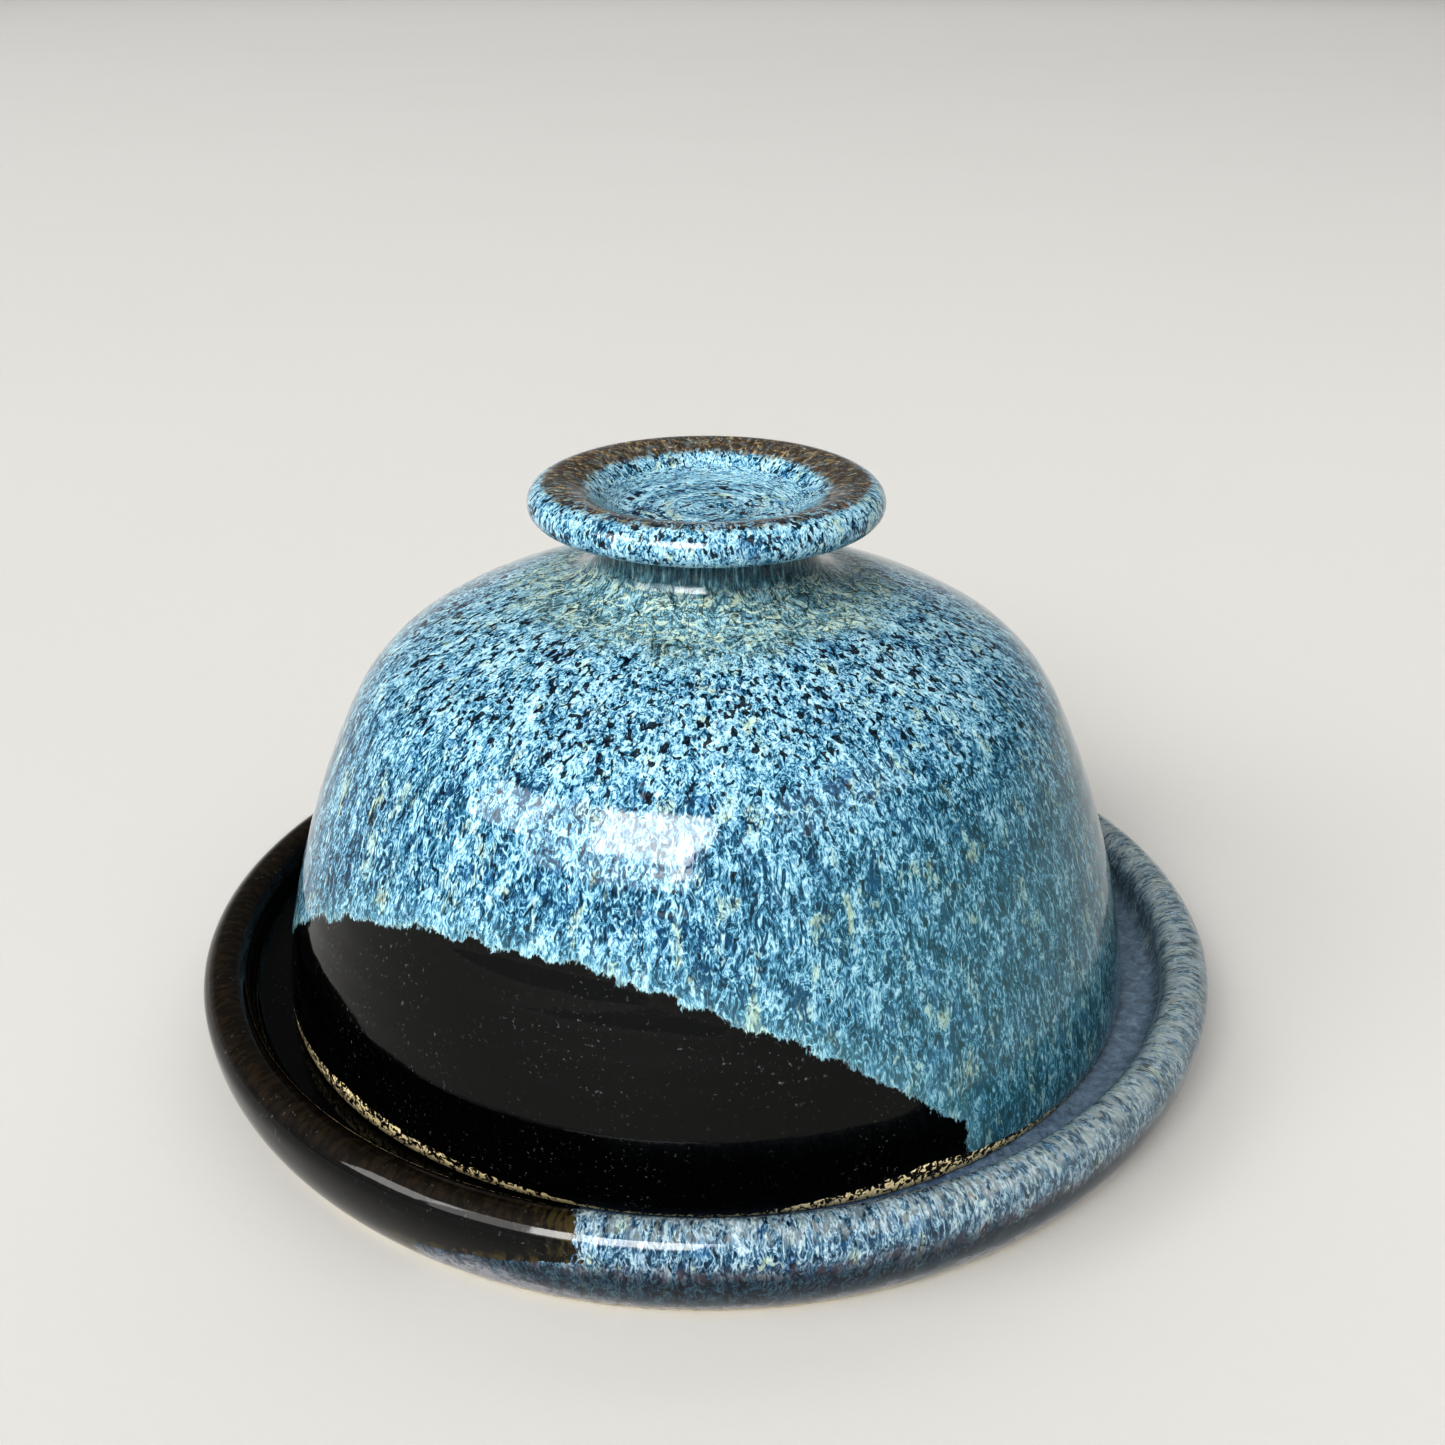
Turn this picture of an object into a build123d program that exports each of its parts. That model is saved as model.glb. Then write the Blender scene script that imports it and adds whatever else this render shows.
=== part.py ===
"""Domed serving dish in stoneware: a rimmed plate, and a dome with a knob thrown onto its crown.

Every piece is a solid of revolution about Z. The origin is under the middle of the plate's foot.
Outlines are drawn as (radius, height) in the XZ plane, so each seam lies at y = 0 on the +X side.
"""

import os
from math import cos, radians, sin

from build123d import *

# Plate, in mm.
RIM_OUTER_RADIUS = 100.4
RIM_THICKNESS = 8.4
RIM_SPRING_HEIGHT = 15.2      # where the half-round top of the rim begins
FLOOR_HEIGHT = 9.8            # top of the floor, which the dome's lip rests on
FLOOR_CORNER_RADIUS = 3.0
FOOT_RADIUS = 94.2
FOOT_RING_WIDTH = 12.0
FOOT_RECESS_DEPTH = 2.5
FOOT_EDGE_RADIUS = 1.0
RECESS_CORNER_RADIUS = 1.5

# Dome, in mm and degrees. A heading of 90 goes straight up, and 180 goes level towards the axis.
DOME_WALL = 6.0
LIP_OUTER_RADIUS = 84.5
LIP_HEADING = 96.5
LIP_OUTER_EDGE_RADIUS = 1.2
LIP_INNER_EDGE_RADIUS = 2.0
SIDE_RADIUS = 172.0
SIDE_TURN = 19.7
SHOULDER_RADIUS = 32.0
SHOULDER_TURN = 34.4
CROWN_RADIUS = 95.0
CROWN_TURN = 17.0
FLARE_RADIUS = 14.0           # hollow curve that lifts the crown towards the neck of the knob
FLARE_TURN = 27.6

# Knob, in mm and degrees. It is a shallow saucer on a short waisted neck.
NECK_CURVE_RADIUS = 7.0       # hollow curve from the flare to the waist
UNDERCUT_RADIUS = 3.6         # hollow curve from the waist out under the saucer
SAUCER_STRETCHES = [          # (radius, turn) of each arc
    (22.0, 20.0),             # underside of the saucer
    (2.8, 70.0),              # lower half of the rolled edge
    (3.7, 70.0),              # upper half of the rolled edge
    (6.0, 20.0),              # crest
    (14.0, 25.0),             # inner slope
    (8.0, 17.0),              # break into the dished middle
]
DISH_WALL_LENGTH = 2.0
DISH_CORNER_RADIUS = 7.0


def outline(start, heading, stretches):
    """Return edges that leave start along heading and follow the stretches end to end.

    A stretch is (radius, turn), an arc that turns left where turn is positive, or (0, length),
    a straight run.
    """
    edges = []
    point = Vector(*start)
    direction = Vector(cos(radians(heading)), sin(radians(heading)))
    for radius, amount in stretches:
        if radius:
            edge = JernArc(point, direction, radius, amount)
        else:
            edge = Line(point, point + direction * amount)
        edges.append(edge)
        point, direction = edge @ 1, edge % 1
    return edges


def turned(edges, rounded=()):
    """Close the edges into a section, round the corners named in rounded, and revolve it about Z.

    rounded holds (corner point, radius) pairs.
    """
    section = make_face(edges)
    for corner, radius in rounded:
        vertex = section.vertices().sort_by_distance(Vector(*corner))[0]
        section = fillet(vertex, radius)
    return revolve(Plane.XZ * section, Axis.Z)


def make_plate():
    """Plate with a curved outer wall, a half-round rim, a flat floor and a trimmed foot ring."""
    rim_inner_radius = RIM_OUTER_RADIUS - RIM_THICKNESS
    recess_radius = FOOT_RADIUS - FOOT_RING_WIDTH
    rim_outside = (RIM_OUTER_RADIUS, RIM_SPRING_HEIGHT)
    rim_inside = (rim_inner_radius, RIM_SPRING_HEIGHT)
    floor_corner = (rim_inner_radius, FLOOR_HEIGHT)
    foot_edge = (FOOT_RADIUS, 0)
    ring_inner_edge = (recess_radius, 0)
    recess_corner = (recess_radius, FOOT_RECESS_DEPTH)
    edges = [
        Polyline((0, FOOT_RECESS_DEPTH), recess_corner, ring_inner_edge, foot_edge),
        TangentArc(rim_outside, foot_edge, tangent=(0, -1)),
        TangentArc(rim_outside, rim_inside, tangent=(0, 1)),
        Polyline(rim_inside, floor_corner, (0, FLOOR_HEIGHT), (0, FOOT_RECESS_DEPTH)),
    ]
    rounded = [
        (recess_corner, RECESS_CORNER_RADIUS),
        (ring_inner_edge, FOOT_EDGE_RADIUS),
        (foot_edge, FOOT_EDGE_RADIUS),
        (floor_corner, FLOOR_CORNER_RADIUS),
    ]
    return turned(edges, rounded)


def dome_outside():
    """Outer outline of the dome, from the lip up to the seat of the knob."""
    stretches = [
        (SIDE_RADIUS, SIDE_TURN),
        (SHOULDER_RADIUS, SHOULDER_TURN),
        (CROWN_RADIUS, CROWN_TURN),
        (FLARE_RADIUS, -FLARE_TURN),
    ]
    return outline((LIP_OUTER_RADIUS, FLOOR_HEIGHT), LIP_HEADING, stretches)


def dome_inside():
    """Inner outline, one wall thickness inside the side and shoulder, level where it meets Z."""
    lip_inner_radius = LIP_OUTER_RADIUS - DOME_WALL / sin(radians(LIP_HEADING))
    side_and_shoulder = outline(
        (lip_inner_radius, FLOOR_HEIGHT),
        LIP_HEADING,
        [(SIDE_RADIUS - DOME_WALL, SIDE_TURN), (SHOULDER_RADIUS - DOME_WALL, SHOULDER_TURN)],
    )
    crown_start = side_and_shoulder[-1] @ 1
    crown_turn = 180 - LIP_HEADING - SIDE_TURN - SHOULDER_TURN
    crown_radius = crown_start.X / sin(radians(crown_turn))
    crown = outline(crown_start, 180 - crown_turn, [(crown_radius, crown_turn)])
    return side_and_shoulder + crown


def make_dome():
    """Hollow dome, open below, with a rounded lip and a flat round seat for the knob on top."""
    outside = dome_outside()
    inside = dome_inside()
    seat_edge = outside[-1] @ 1
    lip_outer = outside[0] @ 0
    lip_inner = inside[0] @ 0
    inner_top = inside[-1] @ 1
    edges = outside + inside + [
        Polyline(seat_edge, (0, seat_edge.Y), inner_top),
        Line(lip_outer, lip_inner),
    ]
    rounded = [
        ((lip_outer.X, lip_outer.Y), LIP_OUTER_EDGE_RADIUS),
        ((lip_inner.X, lip_inner.Y), LIP_INNER_EDGE_RADIUS),
    ]
    return turned(edges, rounded)


def make_knob():
    """Knob: a waisted neck that carries on the dome's flare, and a saucer dished in the middle."""
    seat_edge = dome_outside()[-1] @ 1
    seat_heading = LIP_HEADING + SIDE_TURN + SHOULDER_TURN + CROWN_TURN - FLARE_TURN
    neck_turn = seat_heading - 90
    dish_turn = sum(turn for radius, turn in SAUCER_STRETCHES) - 180
    stretches = [
        (NECK_CURVE_RADIUS, -neck_turn),
        (UNDERCUT_RADIUS, -90),
        *SAUCER_STRETCHES,
        (0, DISH_WALL_LENGTH),
        (DISH_CORNER_RADIUS, -dish_turn),
    ]
    outside = outline((seat_edge.X, seat_edge.Y), seat_heading, stretches)
    dish_edge = outside[-1] @ 1
    closing = Polyline(dish_edge, (0, dish_edge.Y), (0, seat_edge.Y), (seat_edge.X, seat_edge.Y))
    return turned(outside + [closing])


def main():
    os.makedirs("parts", exist_ok=True)
    for name, solid in (("plate", make_plate()), ("dome", make_dome()), ("knob", make_knob())):
        export_step(solid, f"parts/{name}.step")


main()
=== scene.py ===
"""Looks of the domed serving dish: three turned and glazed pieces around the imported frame.

Each piece is a fine lathe mesh on its CAD node's own outline, with throwing marks and the thickness
of the glaze in the mesh, and a procedural glaze. Lengths are in metres and the axis is Z. A zone is
a pair of numbers: what it governs is 0 at the first of them and 1 at the second.
"""

import math

import bmesh
import bpy
import numpy as np
from mathutils import Matrix, Vector


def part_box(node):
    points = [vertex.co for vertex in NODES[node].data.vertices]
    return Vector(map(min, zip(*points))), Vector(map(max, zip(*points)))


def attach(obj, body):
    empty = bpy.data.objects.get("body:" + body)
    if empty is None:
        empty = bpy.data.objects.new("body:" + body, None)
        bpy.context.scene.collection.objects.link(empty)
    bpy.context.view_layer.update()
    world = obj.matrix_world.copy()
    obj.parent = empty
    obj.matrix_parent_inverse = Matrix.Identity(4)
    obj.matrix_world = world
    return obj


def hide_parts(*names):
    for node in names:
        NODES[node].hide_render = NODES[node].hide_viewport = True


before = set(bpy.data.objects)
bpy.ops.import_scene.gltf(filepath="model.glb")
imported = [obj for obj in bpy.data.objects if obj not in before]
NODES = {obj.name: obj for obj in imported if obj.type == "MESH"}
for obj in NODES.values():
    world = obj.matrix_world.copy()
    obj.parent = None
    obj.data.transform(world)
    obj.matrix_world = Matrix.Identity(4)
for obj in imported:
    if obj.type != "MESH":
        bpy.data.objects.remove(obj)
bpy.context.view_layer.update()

MM = 0.001

# Places in the frame.
RIM_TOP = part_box("plate")[1].z
LIP_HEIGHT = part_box("dome")[0].z          # the dome's lip, and the plate's floor that it stands on
SEAT_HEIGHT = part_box("knob")[0].z         # where the knob was joined to the dome

# How far apart the rings of each mesh are, and how many segments go round the axis.
DOME_MESH = (1.5 * MM, 448)
KNOB_MESH = (0.7 * MM, 320)
PLATE_MESH = (1.2 * MM, 448)

# Tolerances for cutting an outline from a node's mesh.
SAME_POINT = 1e-6
ON_PLANE = 1e-7
SHARP_TURN = 30                           # degrees at a point of an outline that make it a corner


# ---------------------------------------------------------------- outlines from the CAD nodes

def meridian(node):
    """Outline of a turned node in its XZ half-plane, (radius, height), from axis to axis.

    It starts at the lower of the two points on the axis, and keeps the clay on its left.
    """
    bm = bmesh.new()
    bm.from_mesh(node.data)
    bmesh.ops.remove_doubles(bm, verts=bm.verts, dist=SAME_POINT)
    for normal, clear_outer in (((0, 1, 0), True), ((1, 0, 0), False)):
        bmesh.ops.bisect_plane(
            bm, geom=bm.verts[:] + bm.edges[:] + bm.faces[:], dist=ON_PLANE,
            plane_co=(0, 0, 0), plane_no=normal, clear_inner=True, clear_outer=clear_outer,
        )
    bmesh.ops.remove_doubles(bm, verts=bm.verts, dist=SAME_POINT)
    here = min((v for v in bm.verts if abs(v.co.x) < SAME_POINT), key=lambda v: v.co.z)
    seen = {here}
    points = [(here.co.x, here.co.z)]
    while True:
        onward = [e.other_vert(here) for e in here.link_edges if e.other_vert(here) not in seen]
        if not onward:
            break
        here = onward[0]
        seen.add(here)
        points.append((here.co.x, here.co.z))
    bm.free()
    return np.array(points)


def corners_of(points):
    """Indices of the ends and of the sharp corners of an outline."""
    ahead = np.diff(points, axis=0)
    heading = np.unwrap(np.arctan2(ahead[:, 1], ahead[:, 0]))
    turn = np.abs(np.degrees(np.diff(heading)))
    return [0, *(np.flatnonzero(turn > SHARP_TURN) + 1), len(points) - 1]


def smooth_run(points, steps=24):
    """A dense curve through the points of one run with no corner in it, by cubic pieces."""
    lengths = np.hypot(*np.diff(points, axis=0).T)
    slopes = np.diff(points, axis=0) / lengths[:, None]
    tangents = np.vstack([slopes[:1], slopes])
    before, after = lengths[:-1, None], lengths[1:, None]
    tangents[1:-1] = (slopes[:-1] * before + slopes[1:] * after) / (before + after)
    if len(points) > 2:
        tangents[0] = 2 * slopes[0] - tangents[1]
        tangents[-1] = 2 * slopes[-1] - tangents[-2]
    t = np.linspace(0, 1, steps, endpoint=False)[:, None]
    curve = []
    for i, length in enumerate(lengths):
        curve.append(
            points[i] * (2 * t**3 - 3 * t**2 + 1)
            + points[i + 1] * (3 * t**2 - 2 * t**3)
            + length * tangents[i] * (t**3 - 2 * t**2 + t)
            + length * tangents[i + 1] * (t**3 - t**2)
        )
    return np.vstack([*curve, points[-1:]])


def rings_along(node, spacing):
    """Points, outward normals and sharp flags of the rings of a lathe mesh on a node's outline."""
    outline = meridian(node)
    corners = corners_of(outline)
    rings, normals, sharp = [], [], []
    for first, last in zip(corners[:-1], corners[1:]):
        run = smooth_run(outline[first:last + 1])
        along = np.concatenate([[0], np.cumsum(np.hypot(*np.diff(run, axis=0).T))])
        cuts = max(1, round(along[-1] / spacing))
        slope = np.gradient(run, along, axis=0)
        slope /= np.hypot(*slope.T)[:, None]
        for i, place in enumerate(np.linspace(0, along[-1], cuts + 1)):
            if rings and i == 0:
                continue                  # the run before this one ended here
            rings.append([np.interp(place, along, run[:, k]) for k in (0, 1)])
            heading = [np.interp(place, along, slope[:, k]) for k in (0, 1)]
            normals.append((heading[1], -heading[0]))
            sharp.append(i == cuts)
    sharp[-1] = False
    return np.array(rings), np.array(normals), np.array(sharp)


def lathe(node_name, spacing, segments, relief, slot_of):
    """Mesh object on the outline of a CAD node.

    relief(points, outward) is how far each point stands out from the outline, and
    slot_of(normal) is the material slot of a ring of faces.
    """
    rings, normals, sharp = rings_along(NODES[node_name], spacing)
    low_pole, high_pole = rings[0], rings[-1]
    rings, normals, sharp = rings[1:-1], normals[1:-1], sharp[1:-1]
    turn = np.arange(segments) * 2 * math.pi / segments
    round_way = np.column_stack([np.cos(turn), np.sin(turn), np.zeros(segments)])
    up = np.array([0, 0, 1.0])
    points = rings[:, None, :1] * round_way + rings[:, None, 1:] * up
    outward = normals[:, None, :1] * round_way + normals[:, None, 1:] * up
    points += outward * relief(points, outward)[..., None]

    index = np.arange(len(rings) * segments).reshape(len(rings), segments)
    beside = np.roll(index, -1, axis=1)
    quads = np.stack([index[:-1], beside[:-1], beside[1:], index[1:]], axis=-1).reshape(-1, 4)
    poles = [(0, 0, low_pole[1]), (0, 0, high_pole[1])]
    fans = [(index.size, b, a) for a, b in zip(index[0], beside[0])]
    fans += [(index.size + 1, a, b) for a, b in zip(index[-1], beside[-1])]
    mesh = bpy.data.meshes.new(node_name + "_glazed")
    mesh.from_pydata([*points.reshape(-1, 3).tolist(), *poles], [], [*quads.tolist(), *fans])
    mesh.update()
    mesh.shade_smooth()

    slots = np.array([slot_of(normal) for normal in normals])
    face_slots = [*np.repeat(slots[:-1], segments), *[slots[0]] * segments, *[slots[-1]] * segments]
    mesh.polygons.foreach_set("material_index", np.array(face_slots, np.int32))
    for edge in mesh.edges:
        a, b = sorted(edge.vertices)
        if b < index.size and a // segments == b // segments:
            edge.use_edge_sharp = bool(sharp[a // segments])
    piece = bpy.data.objects.new(node_name + "_glazed", mesh)
    bpy.context.scene.collection.objects.link(piece)
    return piece


# ---------------------------------------------------------------- where each glaze lies

# The dome was dipped in blue, knob down and tilted. Its dip line is a slanted plane that meets an
# upright one through the axis: blue lies above the first or beyond the second.
DIP_SLANT = Vector((0.4625, 1.0173, 1.0))
DIP_LEVEL = -0.0324
DIP_UPRIGHT = Vector((0.848, 0.530, 0.0))

# The plate was dipped upright, so blue lies beyond a straight line across it. On its outer wall the
# blue runs further round, the lower the further.
PLATE_DIP = Vector((0.995, 0.0995, 0.0))
PLATE_DIP_PLACE = -0.0285
SKIRT_TOP = 0.0139
SKIRT_SLOPE = 4.5
SKIRT_MOST = 0.026
SKIRT_RADIUS = 0.0930


def smoothstep(low, high, value):
    """0 at low, 1 at high, and smooth between, for an array."""
    t = np.clip((value - low) / (high - low), 0, 1)
    return t * t * (3 - 2 * t)


def dome_dip(points):
    """Signed distance from the dome's dip line, in metres, positive in the blue."""
    slant = (points @ np.array(DIP_SLANT) - DIP_LEVEL) / DIP_SLANT.length
    return np.maximum(slant, points @ np.array(DIP_UPRIGHT))


def plate_dip(points):
    """The same for the plate."""
    radius = np.hypot(points[..., 0], points[..., 1])
    skirt = np.clip((SKIRT_TOP - points[..., 2]) * SKIRT_SLOPE, 0, SKIRT_MOST)
    skirt = skirt * (radius > SKIRT_RADIUS)
    return points @ np.array(PLATE_DIP) - PLATE_DIP_PLACE + skirt


# ---------------------------------------------------------------- relief of clay and glaze layers

# A layer of glaze rises over EDGE_RISE, and has a bead with its crest at BEAD_PLACE.
EDGE_RISE = (-0.2 * MM, 1.2 * MM)
BEAD_PLACE = 1.6 * MM
BEAD_WIDTH = 1.3 * MM

# Each layer's thickness, and the height of the bead at its edge.
DOME_COAT = (0.2 * MM, 0.08 * MM)
DOME_OVERLAP = (0.18 * MM, 0.14 * MM)
PLATE_OVERLAP = (0.12 * MM, 0.1 * MM)

# Dome: throwing marks that climb it in a wandering spiral, and the unevenness of its wall.
DOME_LIP_ZONE = (0, 6 * MM)               # height above the lip
DOME_SEAT_ZONE = (24 * MM, 36 * MM)       # radius, outside the knob's seat
DOME_COAT_START = 2 * MM                  # height above the lip where the glaze begins
DOME_MARK_PITCH = 5.5 * MM
DOME_MARK_HEIGHT = 0.04 * MM
DOME_MARK_WANDER = 0.6                    # radians
DOME_WOBBLE = 0.2 * MM

# Plate: the uneven rim, and the floor with its rings, a little hollow in the middle.
PLATE_RIM_RADII = (89 * MM, 92 * MM)
PLATE_RIM_HEIGHTS = (0, 5 * MM)
PLATE_WOBBLE = 0.25 * MM
PLATE_FLOOR_RADII = (88 * MM, 84 * MM)
PLATE_FLOOR_FACES_UP = 0.5                # least upward part of a normal on the floor
PLATE_RING_PITCH = 7 * MM
PLATE_RING_HEIGHT = 0.05 * MM
PLATE_HOLLOW_RADII = (70 * MM, 20 * MM)
PLATE_HOLLOW = 0.5 * MM

# Knob: the uneven saucer, and rings in its dish.
KNOB_FREE_HEIGHTS = (1 * MM, 5 * MM)      # above the seat
KNOB_WOBBLE = 0.15 * MM
DISH_RADII = (20 * MM, 16 * MM)
DISH_FACES_UP = 0.7                       # the same in the dish
DISH_RING_PITCH = 4.5 * MM
DISH_RING_HEIGHT = 0.09 * MM


def polar(points):
    """Radius and angle round the axis."""
    return np.hypot(points[..., 0], points[..., 1]), np.arctan2(points[..., 1], points[..., 0])


def thrown_rings(distance, pitch, turn):
    """Height from -1 to 1 of throwing marks, a spiral with this pitch."""
    return np.sin(2 * math.pi * distance / pitch + turn)


def wobble(turn, height, seed):
    """Slow unevenness of a thrown wall, about -1 to 1."""
    return (
        0.5 * np.cos(2 * turn + seed + 9 * height)
        + 0.3 * np.cos(3 * turn + 2.3 * seed - 25 * height)
        + 0.2 * np.cos(5 * turn + 0.7 * seed + 60 * height)
    )


def glaze_edge(distance, thickness, bead):
    """Height of a glaze layer near its edge: a step with a soft bead just inside it."""
    roll = np.exp(-((distance - BEAD_PLACE) / BEAD_WIDTH) ** 2)
    return thickness * smoothstep(*EDGE_RISE, distance) + bead * roll


def dome_relief(points, outward):
    radius, turn = polar(points)
    height = points[..., 2]
    off_seat = smoothstep(*DOME_SEAT_ZONE, radius)
    free = smoothstep(*DOME_LIP_ZONE, height - LIP_HEIGHT) * off_seat
    marks = thrown_rings(height, DOME_MARK_PITCH, turn + DOME_MARK_WANDER * np.sin(2 * turn))
    clay = free * (DOME_MARK_HEIGHT * marks + DOME_WOBBLE * wobble(turn, height, seed=1.3))
    radial = (outward[..., :2] * points[..., :2]).sum(-1) / radius
    outside = (radial + outward[..., 2] > 0) * off_seat
    coat = glaze_edge(height - LIP_HEIGHT - DOME_COAT_START, *DOME_COAT)
    overlap = glaze_edge(dome_dip(points), *DOME_OVERLAP)
    return clay + outside * coat + free * outside * overlap


def plate_relief(points, outward):
    radius, turn = polar(points)
    height = points[..., 2]
    on_rim = smoothstep(*PLATE_RIM_RADII, radius) * smoothstep(*PLATE_RIM_HEIGHTS, height)
    clay = PLATE_WOBBLE * on_rim * wobble(turn, height, seed=0.4)
    on_floor = (outward[..., 2] > PLATE_FLOOR_FACES_UP) * smoothstep(*PLATE_FLOOR_RADII, radius)
    ripples = thrown_rings(radius, PLATE_RING_PITCH, turn) - 1
    hollow = PLATE_HOLLOW * smoothstep(*PLATE_HOLLOW_RADII, radius)
    overlap = glaze_edge(plate_dip(points), *PLATE_OVERLAP)
    return clay + on_floor * (PLATE_RING_HEIGHT * ripples - hollow) + on_rim * overlap


def knob_relief(points, outward):
    radius, turn = polar(points)
    height = points[..., 2]
    free = smoothstep(*KNOB_FREE_HEIGHTS, height - SEAT_HEIGHT)
    dish = (outward[..., 2] > DISH_FACES_UP) * smoothstep(*DISH_RADII, radius)
    ripples = DISH_RING_HEIGHT * dish * thrown_rings(radius, DISH_RING_PITCH, turn)
    return free * (KNOB_WOBBLE * wobble(turn, height, seed=2.2) + ripples)


# ---------------------------------------------------------------- node trees

# A Mix node has a set of sockets for each data type. These are its two inputs and its output.
MIX_VECTORS = (4, 5, 1)
MIX_COLOURS = (6, 7, 2)


class Field:
    """A number that varies over a surface, with arithmetic that adds math nodes."""

    def __init__(self, shader, socket):
        self.shader = shader
        self.socket = socket

    def __add__(self, other):
        return self.shader.math("ADD", self, other)

    def __sub__(self, other):
        return self.shader.math("SUBTRACT", self, other)

    def __rsub__(self, other):
        return self.shader.math("SUBTRACT", other, self)

    def __mul__(self, other):
        return self.shader.math("MULTIPLY", self, other)

    def __truediv__(self, other):
        return self.shader.math("DIVIDE", self, other)

    def __rtruediv__(self, other):
        return self.shader.math("DIVIDE", other, self)


class Shader:
    """Node tree of a material or a world, which starts empty."""

    def __init__(self, owner):
        owner.use_nodes = True
        self.tree = owner.node_tree
        self.tree.nodes.clear()

    def node(self, kind, values, **settings):
        """Adds a node with these input values, each a constant, a socket or a field."""
        made = self.tree.nodes.new("ShaderNode" + kind)
        for name, value in settings.items():
            setattr(made, name, value)
        for key, value in values.items():
            if isinstance(value, Field):
                value = value.socket
            if isinstance(value, bpy.types.NodeSocket):
                self.tree.links.new(value, made.inputs[key])
            else:
                made.inputs[key].default_value = value
        return made

    def math(self, operation, *values):
        made = self.node("Math", dict(enumerate(values)), operation=operation)
        return Field(self, made.outputs[0])

    def dot(self, place, direction):
        values = {0: place, 1: tuple(direction)}
        made = self.node("VectorMath", values, operation="DOT_PRODUCT")
        return Field(self, made.outputs["Value"])

    def split(self, place):
        """The x, y and z of a vector, as fields."""
        made = self.node("SeparateXYZ", {0: place})
        return [Field(self, socket) for socket in made.outputs]

    def step(self, low, high, value, least=0.0, most=1.0):
        """least at low, most at high, and smooth between."""
        values = {
            "Value": value, "From Min": low, "From Max": high, "To Min": least, "To Max": most,
        }
        made = self.node("MapRange", values, interpolation_type="SMOOTHSTEP")
        return Field(self, made.outputs["Result"])


class Glaze(Shader):
    """Node tree of one material. x, y, z and radius are fields of the object's own coordinates."""

    def __init__(self, name):
        self.material = bpy.data.materials.new(name)
        super().__init__(self.material)
        self.place = self.tree.nodes.new("ShaderNodeTexCoord").outputs["Object"]
        self.x, self.y, self.z = self.split(self.place)
        self.radius = self.math("SQRT", self.x * self.x + self.y * self.y)

    def vector(self, x, y, z):
        return self.node("CombineXYZ", {0: x, 1: y, 2: z}).outputs[0]

    def noise(self, place, size, detail=2.0, roughness=0.5, curl=0.0, shift=0.0):
        """Soft noise from 0 to 1 with lumps about size across, in metres.

        curl bends the lumps into curls, and another shift gives another noise.
        """
        moved = self.node("VectorMath", {0: place, 1: (shift, 0.6 * shift, 0.3 * shift)})
        values = {
            "Vector": moved.outputs[0], "Scale": 1 / size, "Detail": detail,
            "Roughness": roughness, "Distortion": curl,
        }
        return Field(self, self.node("TexNoise", values).outputs[0])

    def ridge(self, noise, middle, width):
        """1 along the lines where a noise crosses middle, falling to 0 at width either side."""
        return self.math("MAXIMUM", 1 - self.math("ABSOLUTE", noise - middle) / width, 0.0)

    def ramp(self, value, stops):
        """Colour along stops of (position, colour)."""
        made = self.node("ValToRGB", {0: value})
        elements = made.color_ramp.elements
        while len(elements) < len(stops):
            elements.new(1.0)
        for element, (position, colour) in zip(elements, stops):
            element.position = position
            element.color = (*linear(colour), 1)
        return made.outputs[0]

    def blend(self, factor, first, second, mode="MIX"):
        """Colour that goes from first to second as factor goes from 0 to 1."""
        first_input, second_input, output = MIX_COLOURS
        made = self.node("Mix", {0: factor}, data_type="RGBA", blend_type=mode)
        for key, colour in ((first_input, first), (second_input, second)):
            if isinstance(colour, bpy.types.NodeSocket):
                self.tree.links.new(colour, made.inputs[key])
            else:
                made.inputs[key].default_value = (*linear(colour), 1)
        return made.outputs[output]

    def finish(self, colour, roughness, height, **constants):
        """Ends the tree in a surface with a relief height in metres. constants go on the shader."""
        bump = self.node("Bump", {"Height": height, "Distance": 1.0})
        values = {"Base Color": colour, "Roughness": roughness, "Normal": bump.outputs[0]}
        surface = self.node("BsdfPrincipled", {**values, **constants})
        output = self.node("OutputMaterial", {"Surface": surface.outputs[0]})
        output.is_active_output = True
        return self.material


def linear(code):
    """Linear colour of a six-digit sRGB hex code."""
    parts = [int(code[i:i + 2], 16) / 255 for i in (0, 2, 4)]
    return [p / 12.92 if p <= 0.04045 else ((p + 0.055) / 1.055) ** 2.4 for p in parts]


# ---------------------------------------------------------------- patterns that the glazes share

GLAZE_IOR = 1.42
CLAY_ROUGHNESS = 0.5

# Blue glaze: its tone runs through one of these ramps, and deeper, creamy, rusty and dark marks
# lie over it.
DOME_BLUES = [
    (0.00, "031a2b"), (0.24, "163f54"), (0.38, "3a6a80"), (0.52, "668fa3"),
    (0.61, "85a7b3"), (0.80, "9bb8c0"), (1.00, "b7ced1"),
]
PLATE_BLUES = [
    (0.00, "0b1b28"), (0.24, "1f3c4f"), (0.38, "406072"), (0.52, "667f8e"),
    (0.61, "8498a2"), (0.80, "98a9ae"), (1.00, "b6c3c1"),
]
DEEP_BLUE = "1f5b84"
CLOT_CREAM = "a9b59b"
RUST_BROWN = "5a4a48"
POOL_BLUE = "07334f"
GAP_BLUE = "010a16"

# Black glaze and bare clay.
BLACK = "030303"
DUST_GREY = "8f9a98"
BARE_TANS = [(0.3, "b3a27a"), (0.5, "ddcca0"), (0.7, "f3e9cb")]
PEPPER_BLACK = "0b0a08"

# The ring round the foot of the neck.
COLLAR_OLIVE = "8fa99d"
COLLAR_CREAM = "c5d0b8"
COLLAR_DARK = "0b1d20"

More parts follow.
